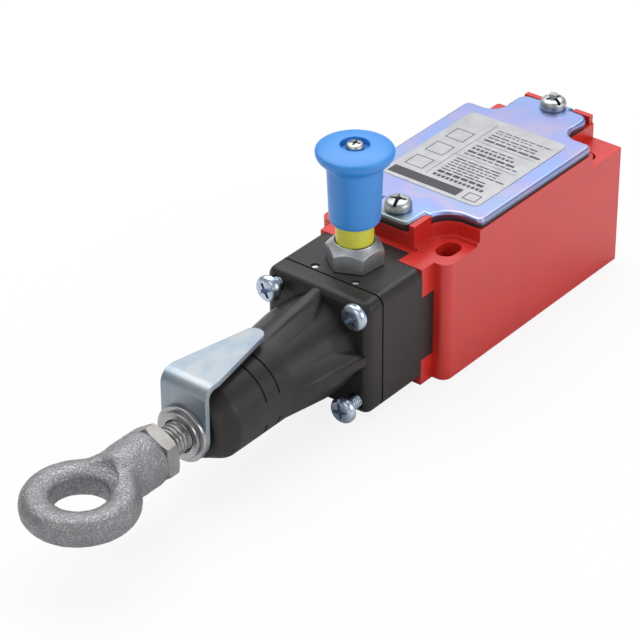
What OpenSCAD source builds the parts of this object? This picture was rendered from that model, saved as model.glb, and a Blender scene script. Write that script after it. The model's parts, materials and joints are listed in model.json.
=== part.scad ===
// Rope pull switch: latching safety switch pulled by a rope through a forged eye.
// Millimetres. +X runs from the head to the cable entry, +Z from the mounting face to the cover.
// The origin is the middle of the body's flat mounting face.

/* [Body] */
// Length of the body casing
body_length = 77; // [74:1:90]
// Width of the body casing
body_width = 40; // [39:1:46]
// Height of the four shelves that the fixing screws bear on
shelf_height = 33.7; // [33.3:0.1:38]
// Height of the side walls above the shelves
rim_height = 4.2; // [3.5:0.1:6]
// Radius of the casing's upright corners at the head end
corner_radius = 2.6; // [1:0.1:4]
// Radius of the casing's upright corners at the entry end
end_corner_radius = 0.8; // [0.5:0.1:3]
// Thickness of the casing's side walls
wall = 3; // [2:0.1:4]
// Thickness of the casing's floor
floor_t = 3; // [2:0.1:5]

/* [Fixing holes] */
// Distance from the body's head end to the middle of the slotted holes
fixing_near_margin = 7.2; // [7:0.1:8]
// Distance from the body's entry end to the middle of the round holes
fixing_far_margin = 9.8; // [9:0.1:11]
// Distance between the fixing holes across the body
fixing_pitch_width = 30; // [29:0.5:31]
// Diameter of the fixing holes
fixing_d = 5.3; // [4.3:0.1:5.8]
// Overall length of the two slotted holes at the head end
fixing_slot_length = 7.3; // [6.5:0.1:8]

/* [Cable entry] */
// Minor diameter of the M20 thread
entry_d = 18.38; // [14:0.01:20]
// Thickness of the end wall that the entry is cut through
entry_wall = 7; // [5:0.1:8]

/* [Cover] */
// Thickness of the cover plate
cover_t = 1.6; // [1:0.1:2.5]
// Thickness of the gasket under the cover
gasket_t = 1; // [0.6:0.1:2]
// Half width of the cover's tab at the head end
near_tab_half = 6.5; // [5:0.1:7]
// Half width of the cover's tab at the entry end
far_tab_half = 10.7; // [9:0.1:11]
// Radius of the cover's cut-outs round the slotted holes
near_notch_r = 6.8; // [6:0.1:7.5]
// Radius of the cover's cut-outs round the round holes
far_notch_r = 4.5; // [3.8:0.1:5]
// Length of the rating label
label_length = 40; // [20:1:42]
// Width of the rating label
label_width = 30.4; // [20:0.1:34]
// Length of the cover screws under their heads
cover_screw_length = 7; // [5:0.5:9]

/* [Head] */
// Length of the head block
head_length = 20.3; // [19.5:0.1:24]
// Width and height of the head block
head_width = 32; // [31.8:0.1:33]
// Height of the rope's axis over the mounting face
rope_axis_height = 17.5; // [17:0.1:18.5]
// Thickness of the gasket between the head block and the barrel
head_gasket_t = 0.8; // [0.5:0.1:1.5]
// Distance from the head block's sides to the middle of each head screw
head_screw_inset = 3.7; // [3.5:0.1:4.2]
// Length of the head screws under their heads
head_screw_length = 28.5; // [27:0.1:29]
// How far the most loosened head screw stands out
head_screw_lift = 4.2; // [0:0.1:6]

/* [Barrel] */
// Thickness of the barrel's square flange
flange_t = 5.3; // [4:0.1:7]
// Outer diameter of the barrel
barrel_d = 21.8; // [21:0.1:22.5]
// Bore of the barrel
barrel_bore = 17; // [16.4:0.1:17.6]
// Length of the barrel in front of its flange
barrel_length = 47.2; // [45:0.1:60]
// Length of the tapered nose
nose_length = 6; // [3:0.1:9]
// Diameter of the nose's end face
nose_d = 16; // [14:0.1:18]
// Distance from the flange to the first tension ring
ring_distance = 26.9; // [24:0.1:30]
// Distance between the two tension rings
ring_gap = 4.9; // [3:0.1:7]
// Width of the ribs on the barrel's neck
rib_w = 2.6; // [1.5:0.1:4]

/* [Rope side] */
// Diameter of the pull rod and of its thread
rod_d = 8; // [6:0.1:8.6]
// How far the rope pulls the rod out
rope_travel = 12; // [8:0.5:12]
// Wire diameter of the main spring
spring_wire = 1.8; // [1.2:0.1:2.2]
// Width of the tension bracket
bracket_width = 14; // [12:0.1:18]
// Thickness of the tension bracket
bracket_t = 1.5; // [1:0.1:2]
// Length of the tension bracket's arm
bracket_arm = 28.5; // [22:0.1:32]
// Height of the bracket's arm over the rope's axis
bracket_rise = 14.5; // [13.5:0.1:16]
// Outer diameter of the flat washer
washer_d = 14.6; // [12:0.1:18]
// Size across the lock nut's flats
lock_nut_af = 13; // [12:0.1:14]
// Outer diameter of the eye's ring
eye_d = 28.4; // [26:0.1:34]
// Bore of the eye's ring
eye_bore = 13.4; // [12:0.1:15]
// Thickness of the eye's ring from its top to its underside
eye_t = 7.8; // [6:0.1:9]

/* [Reset] */
// Distance from the head's back face to the reset axis
reset_distance = 11.2; // [11:0.1:11.8]
// Size across the reset nut's flats
reset_nut_af = 13; // [12.6:0.1:16]
// Height of the reset nut
reset_nut_height = 5; // [3:0.1:6]
// Outer diameter of the yellow sleeve
sleeve_d = 9.5; // [8.6:0.1:10]
// Length of the yellow sleeve between its bushing and the knob
sleeve_shown = 5.4; // [3:0.1:6]
// Height of the knob
knob_height = 21.2; // [20:0.1:26]
// Diameter of the knob's grip
knob_d = 13.6; // [13:0.1:16]
// Diameter of the knob's cap
cap_d = 19.5; // [18:0.1:24]
// How far the knob pulls up
reset_travel = 5; // [3:0.5:6]

/* [Contacts] */
// Length of the contact block
block_length = 38.5; // [37.5:0.1:40]
// Width of the contact block
block_width = 29; // [28:0.1:31]
// Height of the contact block's terminal shoulders over the casing's floor
block_height = 27; // [26:0.1:28]
// Height of the contact plunger over the rope's axis
plunger_rise = 8.6; // [8.2:0.1:8.8]
// Distance between a moving bridge and its open contacts
contact_gap = 2.3; // [2.1:0.1:2.6]

/* [Screw heads] */
// Radius of the cover and head screws' pan heads
pan_head_r = 3.5; // [3:0.1:3.8]
// Radius of the terminal screws' heads
terminal_head_r = 2.8; // [2.4:0.1:3]
// Radius of the knob screw's head
knob_head_r = 2.3; // [2:0.1:2.8]

/* [Fits] */
// Radial clearance of parts that slide or turn in each other
running = 0.05; // [0.02:0.01:0.08]
// Clearance between pieces that move past each other
clear = 0.3; // [0.2:0.05:0.4]
// Radial clearance round a screw's shank
screw_clear = 0.25; // [0.1:0.05:0.35]

/* [Hidden] */
$fn = 72;
coil_sides = 8;
coil_steps = 14;

// Body
body_front = -body_length / 2;
body_end = body_length / 2;
rim_top = shelf_height + rim_height;
cover_bottom = rim_top + gasket_t;
cover_top = cover_bottom + cover_t;
near_fix_x = body_front + fixing_near_margin;
far_fix_x = body_end - fixing_far_margin;
fix_y = fixing_pitch_width / 2;
slot_run = fixing_slot_length - fixing_d;
pocket_step = 0.5;
near_pocket_r = near_notch_r - pocket_step;
ledge_w = 1.1;
ledge_h = 0.8;
far_pocket_r = far_notch_r - 0.3;
end_block_half = fix_y - near_pocket_r;
near_block_front = body_front + 1.5;
near_block_back = near_fix_x + 1.1;
rim_wall = 1.7;
far_rim_half = fix_y - far_pocket_r - 0.4;
far_rim_t = 1.6;
cavity_front = near_fix_x + near_pocket_r + 1.5;
cavity_back = far_fix_x - fixing_d / 2 - wall;
cavity_half = body_width / 2 - wall;
gland_half = 9.6;
entry_inner = body_end - entry_wall;
cover_screw_near = body_front + 6.3;
cover_screw_far = body_end - 3.4;
cover_screw_r = 1.75;
ear_reach = 4.8;
ear_width = 7.4;
ear_outer = head_width / 2 - 0.1;
upper_ear_drop = 8.1;
lower_ear_rise = 7.4;

// Head and barrel
axis_z = rope_axis_height;
head_back = body_front;
head_front = head_back - head_length;
flange_back = head_front - head_gasket_t;
flange_front = flange_back - flange_t;
nose_x = flange_front - barrel_length;
barrel_r = barrel_d / 2;
barrel_bore_r = barrel_bore / 2;
nose_wall = 4;
head_half = head_width / 2;
head_screw_pitch = head_half - head_screw_inset;
head_corner_r = 2.6;
cavity_y = head_half - 7;
cavity_low = axis_z - head_half + 5;
cavity_high = axis_z + head_half - 4.7;
head_cavity_back = head_back - 3;
rod_r = rod_d / 2;
rod_bore_r = rod_r + running;
head_screw_r = 1.75;
head_screw_end = flange_front + head_screw_length + 0.5;
ring_xs = [flange_front - ring_distance, flange_front - ring_distance - ring_gap];

// Pull rod, cam and rocker
seat_t = 4;
seat_x = flange_back - 10.4;
cam_front = seat_x + seat_t;
cam_low = 3.6;
cam_half = 3.3;
cam_bore_r = 2.5;
rod_tail_r = cam_bore_r - running;
roller_r = 1.6;
roller_pin_r = 0.8;
pivot_x = head_back - 9;
pivot_z = axis_z + 1;
pivot_r = 1.5;
roller_arm = -9;
roller_z = axis_z + cam_low + clear + roller_r;
roller_rise = roller_z - pivot_z;
plunger_z = axis_z + plunger_rise;
push_rise = plunger_z - pivot_z;
push_arm = 1.6;
push_r = 1.4;
cheek_in = cam_half + 1.1;
cheek_t = 1.8;
rocker_rad = 0.288;
rocker_deg = rocker_rad * 180 / PI;
cam_steps = 8;
// Where a point of the rocker at arm a and rise b goes when the rocker turns by t degrees
function swung(a, b, t) = [a * cos(t) + b * sin(t), b * cos(t) - a * sin(t)];
// The cam's edge keeps the roller at the same gap through the whole pull
cam_curve = [for (i = [0:cam_steps])
    let (p = swung(roller_arm, roller_rise, rocker_deg * i / cam_steps))
    [pivot_x + p.x + rope_travel * i / cam_steps, pivot_z + p.y - roller_r - clear]];
cam_end = cam_curve[cam_steps].x + 0.3;
plunger_travel = swung(push_arm, push_rise, rocker_deg).x - push_arm;

// Rope side
collar_t = 0.7;
collar_r = 5.6;
bracket_back = nose_x - clear - collar_t;
bracket_front = bracket_back - bracket_t;
washer_t = 1.2;
spring_washer_t = 1;
nut_gap = 6.8;
washer_front = bracket_front - washer_t;
stack_front = washer_front - spring_washer_t;
lock_nut_t = 4;
lock_nut_turn = -4.5;
lock_nut_back = stack_front - nut_gap;
lock_nut_front = lock_nut_back - lock_nut_t;
eye_reach = 22.8;
eye_center = lock_nut_front - eye_reach;
eye_ring_r = (eye_d + eye_bore) / 4;
eye_radial = (eye_d - eye_bore) / 2;
shank_r = 7.2;
rod_front = lock_nut_front - 7.5;

// Reset
reset_x = head_back - reset_distance;
head_top = axis_z + head_half + 0.15;
nut_top = head_top + reset_nut_height;
bushing_r = 5.6;
reset_nut_turn = -6;
bushing_top = nut_top + 1.1;
sleeve_r = sleeve_d / 2;
sleeve_bottom = cavity_high + 1.6;
knob_bottom = bushing_top + sleeve_shown;
sleeve_top = knob_bottom + 6;
sleeve_bore_r = 3.3;
stem_r = 2;
stem_tip = axis_z + cam_low + reset_travel + 0.4;
stem_top = knob_bottom + 13;
stem_collar_z = sleeve_bottom + 2;
knob_top = knob_bottom + knob_height;
knob_bore_r = sleeve_r + running;
knob_recess = 1.6;
knob_recess_r = 3.65;

// Contacts
block_front = cavity_front + 1;
block_back = block_front + block_length;
block_top = floor_t + block_height;
channel_half = 5.8;
channel_floor = plunger_z - 4.2;
block_end_wall = 2.5;
plunger_r = 2.6;
bar_half = 2.5;
bar_z = 3;
bar_front = block_front + block_end_wall + plunger_travel + 1;
bar_back = block_back - block_end_wall - 4;
bridge_t = 0.8;
bridge_half = 4.7;
bridge_z = 1.5;
tip_in = 3.3;
leg_in = bridge_half + clear;
leg_t = channel_half - leg_in;
window = 8;
nc_window = bar_front + 3;
no_window = bar_back - window - 2.6;
nc_bridge = nc_window + 0.4;
no_bridge = no_window + window - 0.4 - bridge_t;
nc_tip = nc_bridge - clear - bridge_t;
no_tip = no_bridge + bridge_t + contact_gap;
terminal_y = (channel_half + block_width / 2) / 2;
terminal_xs = [nc_tip + 1.5, no_tip - 1.5];
blade_t = 0.8;
clamp_t = 1.2;
block_screw_x = (terminal_xs[0] + terminal_xs[1]) / 2;
earth_x = (cavity_back + entry_inner) / 2;
earth_y = -5.5;

// A flat rectangle with round corners, made of true arcs
module round_rect(x0, x1, half, r) {
    translate([x0 + r, -half]) square([x1 - x0 - 2 * r, 2 * half]);
    translate([x0, -half + r]) square([x1 - x0, 2 * half - 2 * r]);
    for (x = [x0 + r, x1 - r], y = [-half + r, half - r]) translate([x, y]) circle(r);
}

// The casing's plan, with its own corner radius at each end
module casing_outline(x0) {
    round_rect(x0, 10, body_width / 2, corner_radius);
    round_rect(0, body_end, body_width / 2, end_corner_radius);
}

// Copies the children on both sides of the middle plane
module both_sides() {
    children();
    mirror([0, 1, 0]) children();
}

// A rod along +X from x0 to x1 about the axis at height z
module x_rod(x0, x1, r, z = axis_z) {
    translate([x0, 0, z]) rotate([0, 90, 0]) cylinder(h = x1 - x0, r = r);
}

// A rod across the width from -half to half
module y_rod(x, z, half, r) {
    translate([x, half, z]) rotate([90, 0, 0]) cylinder(h = 2 * half, r = r);
}

// A pan head screw that points down, its seat at the origin
module pan_screw(head_r, head_h, shank_r, length) {
    difference() {
        union() {
            cylinder(h = head_h * 0.6, r = head_r);
            translate([0, 0, head_h * 0.6]) cylinder(h = head_h * 0.4, r1 = head_r, r2 = head_r * 0.72);
            translate([0, 0, -length]) cylinder(h = length, r = shank_r);
        }
        translate([-head_r * 0.7, -head_r * 0.13, head_h * 0.55])
            cube([head_r * 1.4, head_r * 0.26, head_h]);
        translate([-head_r * 0.13, -head_r * 0.7, head_h * 0.55])
            cube([head_r * 0.26, head_r * 1.4, head_h]);
    }
}

// A closed coil spring along +Z as one swept wire
module coil(r, wire_r, height, turns) {
    n = turns * coil_steps;
    rise = height - 2 * wire_r;
    points = [for (i = [0:n], k = [0:coil_sides - 1])
        let (a = 360 * i / coil_steps, b = 360 * k / coil_sides, d = r + wire_r * cos(b))
        [d * cos(a), d * sin(a), wire_r + rise * i / n + wire_r * sin(b)]];
    sides = [for (i = [0:n - 1], k = [0:coil_sides - 1])
        let (a = i * coil_sides + k, b = i * coil_sides + (k + 1) % coil_sides)
        [a, a + coil_sides, b + coil_sides, b]];
    start = [for (k = [0:coil_sides - 1]) k];
    finish = [for (k = [coil_sides - 1:-1:0]) n * coil_sides + k];
    polyhedron(points, concat([start], sides, [finish]));
}

// A nut along +X with chamfered corners, flats at the top and bottom or turned
module hex_nut(x0, x1, af, bore_r, turn = 0) {
    edge = af / sqrt(3);
    difference() {
        intersection() {
            translate([x0, 0, axis_z]) rotate([0, 90, 0]) rotate([0, 0, turn])
                linear_extrude(x1 - x0) circle(edge, $fn = 6);
            translate([x0, 0, axis_z]) rotate([0, 90, 0]) rotate_extrude()
                polygon([[0, 0], [edge - 0.9, 0], [edge + 0.1, 0.6], [edge + 0.1, x1 - x0 - 0.6],
                    [edge - 0.9, x1 - x0], [0, x1 - x0]]);
        }
        x_rod(x0 - 1, x1 + 1, bore_r);
    }
}

// The cover's outline: a plate with a tab at each end and a cut-out round each fixing hole.
// A positive inset makes it smaller all round.
module cover_outline(inset = 0) {
    difference() {
        union() {
            round_rect(near_fix_x + near_notch_r + inset, far_fix_x - far_notch_r - inset,
                body_width / 2 - 0.1 - inset, 1.6);
            polygon([[0, near_tab_half - inset], [near_block_front + 1.2, near_tab_half - inset],
                [near_block_front + inset, near_tab_half - 1.3],
                [near_block_front + inset, 1.3 - near_tab_half],
                [near_block_front + 1.2, inset - near_tab_half], [0, inset - near_tab_half]]);
            translate([near_block_back + clear + inset, -fix_y])
                square([far_fix_x - near_block_back - clear - inset, 2 * fix_y]);
            round_rect(0, body_end - far_rim_t - clear - inset, far_tab_half - inset, 3);
            translate([20, -4.6 + inset]) square([body_end - 20.3 - inset, 2 * (4.6 - inset)]);
        }
        for (y = [-fix_y, fix_y]) {
            translate([near_fix_x, y]) circle(near_notch_r + inset);
            translate([far_fix_x, y]) circle(far_notch_r + inset);
        }
    }
}

// The casing's plan above the shelves; a positive ledge narrows the pockets at the head end
module rim_outline(ledge = 0) {
    difference() {
        casing_outline(near_block_front);
        both_sides() {
            translate([near_fix_x, fix_y]) circle(near_pocket_r - ledge);
            translate([near_fix_x - 20, fix_y - near_pocket_r + ledge]) square([20, 40]);
            translate([near_fix_x - 20, fix_y]) square([20 + near_pocket_r - ledge, 40]);
            translate([far_fix_x, fix_y]) circle(far_pocket_r);
            translate([far_fix_x, fix_y - far_pocket_r]) square([30, 40]);
            translate([far_fix_x - far_pocket_r, fix_y]) square([30, 40]);
        }
    }
}

// The hollow that holds the contact block and leads to the cable entry
module inner_outline() {
    round_rect(cavity_front, cavity_back, cavity_half, 2);
    translate([cavity_back - 3, -gland_half]) square([entry_inner - cavity_back + 3, 2 * gland_half]);
}

module ear(z0, z1) {
    translate([body_front - ear_reach, ear_outer - ear_width, z0])
        cube([ear_reach + 1, ear_width, z1 - z0]);
}

module body_housing() {
    color([0.79, 0.16, 0.13])
    difference() {
        union() {
            linear_extrude(shelf_height) casing_outline(body_front);
            linear_extrude(rim_top) rim_outline();
            linear_extrude(shelf_height + ledge_h) rim_outline(ledge_w);
            // Raised rims beside the cover's tabs
            linear_extrude(cover_top - 0.2) intersection() {
                rim_outline();
                both_sides() {
                    translate([near_block_front, end_block_half - rim_wall])
                        square([near_block_back - near_block_front, rim_wall + 1]);
                    translate([body_end - far_rim_t, 5]) square([far_rim_t, far_rim_half - 5]);
                }
            }
            both_sides() {
                ear(shelf_height - upper_ear_drop, shelf_height);
                ear(0, lower_ear_rise);
            }
        }
        translate([0, 0, floor_t]) linear_extrude(rim_top) inner_outline();
        x_rod(entry_inner - 1, body_end + 1, entry_d / 2);
        x_rod(body_front - 1, cavity_front + 1, plunger_r + running, plunger_z);
        both_sides() {
            translate([far_fix_x, fix_y, -1]) cylinder(h = shelf_height + 2, r = fixing_d / 2);
            for (x = [-slot_run / 2, slot_run / 2]) translate([near_fix_x + x, fix_y, -1])
                cylinder(h = shelf_height + 2, r = fixing_d / 2);
            translate([near_fix_x - slot_run / 2, fix_y - fixing_d / 2, -1])
                cube([slot_run, fixing_d, shelf_height + 2]);
            for (z = [-head_screw_pitch, head_screw_pitch]) translate([0, head_screw_pitch, 0])
                x_rod(body_front - ear_reach - 1, head_screw_end, head_screw_r + running, axis_z + z);
        }
        for (x = [cover_screw_near, cover_screw_far])
            translate([x, 0, cover_top - cover_screw_length - 0.6])
                cylinder(h = 20, r = cover_screw_r + running);
        for (y = [-terminal_y, terminal_y])
            translate([block_screw_x, y, 1]) cylinder(h = 20, r = 1.5 + running);
        translate([earth_x, earth_y, 1]) cylinder(h = 10, r = 2 + running);
    }
}

module cover_gasket() {
    color([0.12, 0.12, 0.13])
    translate([0, 0, rim_top]) linear_extrude(gasket_t) difference() {
        cover_outline(0.15);
        inner_outline();
        for (x = [cover_screw_near, cover_screw_far]) translate([x, 0])
            circle(cover_screw_r + screw_clear);
    }
}

module cover_plate() {
    color([0.74, 0.78, 0.90])
    difference() {
        union() {
            translate([0, 0, cover_bottom]) linear_extrude(cover_t - 0.5) cover_outline(0);
            translate([0, 0, cover_top - 0.5]) linear_extrude(0.5) cover_outline(0.5);
        }
        for (x = [cover_screw_near, cover_screw_far]) translate([x, 0, cover_bottom - 1])
            cylinder(h = cover_t + 2, r = cover_screw_r + screw_clear);
    }
}

module cover_screws() {
    color([0.80, 0.82, 0.84])
    for (x = [cover_screw_near, cover_screw_far]) translate([x, 0, cover_top])
        rotate([0, 0, x < 0 ? 20 : 65]) pan_screw(pan_head_r, 3, cover_screw_r, cover_screw_length);
}

module rating_label() {
    color([0.80, 0.81, 0.82])
    translate([0, 0, cover_top]) linear_extrude(0.15)
        round_rect(-label_length / 2, label_length / 2, label_width / 2, 2);
}

module contact_block() {
    color([0.90, 0.89, 0.84])
    difference() {
        translate([block_front, -block_width / 2, floor_t])
            cube([block_length, block_width, block_height]);
        translate([block_front + block_end_wall, -channel_half, channel_floor])
            cube([block_length - 2 * block_end_wall, 2 * channel_half, 60]);
        x_rod(block_front - 1, block_front + block_end_wall + 1, plunger_r + running, plunger_z);
        for (y = [-terminal_y, terminal_y]) {
            translate([block_screw_x, y, 0]) cylinder(h = 60, r = 1.5 + screw_clear);
            for (x = terminal_xs) translate([x, y, block_top - 6])
                cylinder(h = 7, r = 1.5 + running);
        }
    }
}

module contact_block_screws() {
    color([0.78, 0.79, 0.80])
    for (y = [-terminal_y, terminal_y]) translate([block_screw_x, y, block_top])
        pan_screw(terminal_head_r, 2, 1.5, block_top - 1.4);
}

// One fixed contact: a terminal blade on the shoulder, a leg in the channel and a contact tip
module fixed_contact(terminal_x, tip_x) {
    difference() {
        translate([terminal_x - 3.5, leg_in, block_top])
            cube([7, terminal_y + 3.5 - leg_in, blade_t]);
        translate([terminal_x, terminal_y, block_top - 1]) cylinder(h = 3, r = 1.5 + screw_clear);
    }
    translate([terminal_x - 2, leg_in, plunger_z - bridge_z])
        cube([4, leg_t, block_top - plunger_z + bridge_z + blade_t]);
    translate([tip_x, tip_in, plunger_z - bridge_z])
        cube([blade_t, leg_in + leg_t - tip_in, 2 * bridge_z]);
}

module fixed_contacts() {
    color([0.80, 0.62, 0.28])
    both_sides() {
        fixed_contact(terminal_xs[0], nc_tip);
        fixed_contact(terminal_xs[1], no_tip);
    }
}

module terminal_clamps() {
    color([0.82, 0.76, 0.50])
    for (x = terminal_xs, y = [-terminal_y, terminal_y])
        translate([x, y, block_top + blade_t]) difference() {
            translate([-3, -3, 0]) cube([6, 6, clamp_t]);
            translate([0, 0, -1]) cylinder(h = clamp_t + 2, r = 1.5 + screw_clear);
        }
}

module terminal_screws() {
    color([0.78, 0.79, 0.80])
    for (x = terminal_xs, y = [-terminal_y, terminal_y])
        translate([x, y, block_top + blade_t + clamp_t])
            pan_screw(terminal_head_r, 2, 1.5, blade_t + clamp_t + 5);
}

module earth_clamp() {
    color([0.82, 0.76, 0.50])
    translate([earth_x, earth_y, floor_t]) difference() {
        translate([-3.5, -3.5, 0]) cube([7, 7, clamp_t]);
        translate([0, 0, -1]) cylinder(h = clamp_t + 2, r = 2 + screw_clear);
    }
}

module earth_screw() {
    color([0.78, 0.79, 0.80])
    translate([earth_x, earth_y, floor_t + clamp_t]) pan_screw(3.2, 2.2, 2, clamp_t + 1.6);
}

module contact_plunger() {
    color([0.20, 0.35, 0.62])
    difference() {
        union() {
            x_rod(pivot_x + push_arm + push_r + clear, bar_front + 1, plunger_r, plunger_z);
            translate([bar_front, -bar_half, plunger_z - bar_z])
                cube([bar_back - bar_front, 2 * bar_half, 2 * bar_z]);
            x_rod(bar_back - 1, bar_back + 1.2, 1.4, plunger_z);
        }
        for (x = [nc_window, no_window]) translate([x, -bar_half - 1, plunger_z - bridge_z - 0.2])
            cube([window, 2 * bar_half + 2, 2 * bridge_z + 0.4]);
    }
}

module bridge(x) {
    translate([x, -bridge_half, plunger_z - bridge_z]) cube([bridge_t, 2 * bridge_half, 2 * bridge_z]);
}

module contact_bridges() {
    color([0.82, 0.55, 0.35])
    for (x = [nc_bridge, no_bridge]) bridge(x);
}

module bridge_springs() {
    color([0.72, 0.74, 0.76])
    for (s = [[nc_bridge + bridge_t, nc_window + window], [no_window, no_bridge]])
        translate([s[0] + 0.02, 0, plunger_z]) rotate([0, 90, 0])
            coil(1.1, 0.22, s[1] - s[0] - 0.04, 5);
}

module plunger_spring() {
    color([0.72, 0.74, 0.76])
    translate([bar_back + 0.02, 0, plunger_z]) rotate([0, 90, 0])
        coil(2, 0.3, block_back - block_end_wall - bar_back - 0.04, 4);
}

module head_corner_rods() {
    both_sides() for (z = [-head_screw_pitch, head_screw_pitch]) translate([0, head_screw_pitch, 0])
        x_rod(flange_front - 1, head_back + 1, head_screw_r + screw_clear, axis_z + z);
}

// The square section of the head, turned so that its plan runs along X
module head_section(x0, x1, half, r) {
    translate([x0, 0, axis_z]) rotate([90, 0, 90]) linear_extrude(x1 - x0)
        round_rect(-half, half, half, r);
}

module head_cavity(x0, x1) {
    translate([x0, -cavity_y, cavity_low]) cube([x1 - x0, 2 * cavity_y, cavity_high - cavity_low]);
}

module head_housing() {
    color([0.20, 0.19, 0.18])
    difference() {
        head_section(head_front, head_back, head_half, head_corner_r);
        head_cavity(head_front - 1, head_cavity_back);
        both_sides() {
            translate([body_front - ear_reach, ear_outer - ear_width, shelf_height - upper_ear_drop])
                cube([ear_reach + 1, 20, 20]);
            translate([body_front - ear_reach, ear_outer - ear_width, lower_ear_rise - 20])
                cube([ear_reach + 1, 20, 20]);
        }
        head_corner_rods();
        x_rod(head_cavity_back - 1, head_back + 1, plunger_r + running, plunger_z);
        translate([reset_x, 0, cavity_high - 1]) cylinder(h = 20, r = bushing_r);
        y_rod(pivot_x, pivot_z, cavity_y + 2.5, pivot_r);
        for (y = [-1, 1]) translate([head_front + 1.4, y * 6.3, head_top - 6])
            cylinder(h = 8, r = 1.1);
    }
}

module head_gasket() {
    color([0.10, 0.10, 0.10])
    difference() {
        head_section(flange_back, head_front, head_half - 0.35, head_corner_r);
        head_cavity(flange_back - 1, head_front + 1);
        head_corner_rods();
    }
}

// The neck between the barrel and its flange: a diamond that closes on the barrel, four ribs that
// run up to the middles of the flange's edges, and a scoop beside each screw
module neck() {
    neck_length = 21;
    difference() {
        hull($fn = 32) {
            translate([flange_front - 0.1, 0, axis_z]) rotate([0, 90, 0]) rotate([0, 0, 45])
                linear_extrude(0.2) square(2 * (head_half - 0.8) * sqrt(0.5), center = true);
            x_rod(flange_front - neck_length - 0.2, flange_front - neck_length, barrel_r);
        }
        for (a = [45:90:315]) translate([0, 0, axis_z]) rotate([a, 0, 0])
            translate([flange_front - 14, 0, head_screw_pitch * sqrt(2) + 2.2]) rotate([0, 96, 0])
                cylinder(h = 16, r1 = 4.5, r2 = 7);
    }
    for (a = [0:90:270]) translate([0, 0, axis_z]) rotate([a, 0, 0]) translate([0, rib_w / 2, 0])
        rotate([90, 0, 0]) linear_extrude(rib_w)
            polygon([[flange_front, barrel_r - 3], [flange_front, head_half - 0.6],
                [flange_front - 2, head_half - 1.2], [flange_front - 22, barrel_r + 0.1],
                [flange_front - 22, barrel_r - 3]]);
}

module barrel() {
    color([0.20, 0.19, 0.18])
    difference() {
        union() {
            head_section(flange_front, flange_back, head_half, head_corner_r);
            translate([0, 0, axis_z]) rotate([0, 90, 0]) rotate_extrude()
                polygon([[0, flange_back - 1], [barrel_r, flange_back - 1],
                    [barrel_r, nose_x + nose_length], [barrel_r - 0.7, nose_x + nose_length - 0.9],
                    [nose_d / 2 + 0.7, nose_x + 0.9], [nose_d / 2 - 0.6, nose_x], [0, nose_x]]);
            neck();
        }
        x_rod(nose_x + nose_wall, flange_back + 1, barrel_bore_r);
        x_rod(nose_x - 1, nose_x + nose_wall + 1, rod_bore_r);
        head_corner_rods();
        // Tension rings: a fine groove round the barrel on each side of the set position
        for (x = ring_xs) translate([x - 0.25, 0, axis_z]) rotate([0, 90, 0]) rotate_extrude()
            translate([barrel_r - 0.35, 0]) square([2, 0.5]);
    }
}

// The heads stand out by their own lift; a screw points from the flange into the casing's ears
module head_screws() {
    color([0.72, 0.78, 0.86])
    for (s = [[1, 1, head_screw_lift * 0.6], [1, -1, head_screw_lift * 0.6],
        [-1, -1, head_screw_lift], [-1, 1, 0]])
        translate([flange_front - s[2], s[0] * head_screw_pitch, axis_z + s[1] * head_screw_pitch])
            rotate([0, -90, 0]) rotate([0, 0, 30 + 40 * s[1]])
                pan_screw(pan_head_r, 2.6, head_screw_r, head_screw_length);
}

module head_pins() {
    color([0.80, 0.80, 0.80])
    for (y = [-1, 1]) translate([head_front + 1.4, y * 6.3, head_top - 6])
        cylinder(h = 5.4, r = 1.1);
}

// A bell crank of two cheeks that straddle the cam, joined by the bar that pushes the plunger
module rocker() {
    color([0.80, 0.80, 0.82])
    difference() {
        union() {
            for (y = [cheek_in, -cheek_in - cheek_t])
                translate([pivot_x, y + cheek_t, pivot_z]) rotate([90, 0, 0])
                    linear_extrude(cheek_t) {
                        hull($fn = 32) {
                            circle(3.2);
                            translate([roller_arm, roller_rise]) circle(2.3);
                        }
                        hull($fn = 32) {
                            circle(3.2);
                            translate([push_arm, push_rise]) circle(push_r + 0.4);
                        }
                    }
            y_rod(pivot_x + push_arm, plunger_z, cheek_in + 1, push_r);
        }
        y_rod(pivot_x, pivot_z, 20, pivot_r + running);
        y_rod(pivot_x + roller_arm, roller_z, 20, roller_pin_r);
    }
}

module rocker_roller() {
    color([0.85, 0.83, 0.75])
    difference() {
        y_rod(pivot_x + roller_arm, roller_z, cam_half, roller_r);
        y_rod(pivot_x + roller_arm, roller_z, cam_half + 1, roller_pin_r + running);
    }
}

module roller_pin() {
    color([0.75, 0.76, 0.78])
    y_rod(pivot_x + roller_arm, roller_z, cheek_in + cheek_t, roller_pin_r);
}

module rocker_pivots() {
    color([0.75, 0.76, 0.78])
    both_sides() translate([pivot_x, cavity_y + 2.5, pivot_z]) rotate([90, 0, 0])
        cylinder(h = cavity_y + 2.5 - cheek_in, r = pivot_r);
}

module pull_rod() {
    color([0.74, 0.74, 0.75])
    union() {
        x_rod(rod_front, seat_x, rod_r);
        x_rod(bracket_back, bracket_back + collar_t, collar_r);
        x_rod(seat_x - 1, cam_end - 4, rod_tail_r);
    }
}

module spring_seat() {
    color([0.70, 0.72, 0.74])
    difference() {
        union() {
            x_rod(seat_x, seat_x + seat_t, barrel_bore_r - running);
            x_rod(seat_x - 3, seat_x, rod_r + 1.6);
        }
        x_rod(seat_x - 4, seat_x, rod_r + 0.02);
        x_rod(seat_x - 1, seat_x + seat_t + 1, rod_tail_r + 0.02);
    }
}

module main_spring() {
    color([0.66, 0.68, 0.70])
    translate([nose_x + nose_wall + 0.02, 0, axis_z]) rotate([0, 90, 0])
        coil(barrel_bore_r - 0.4 - spring_wire / 2, spring_wire / 2,
            seat_x - nose_x - nose_wall - 0.04, 8);
}

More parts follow.
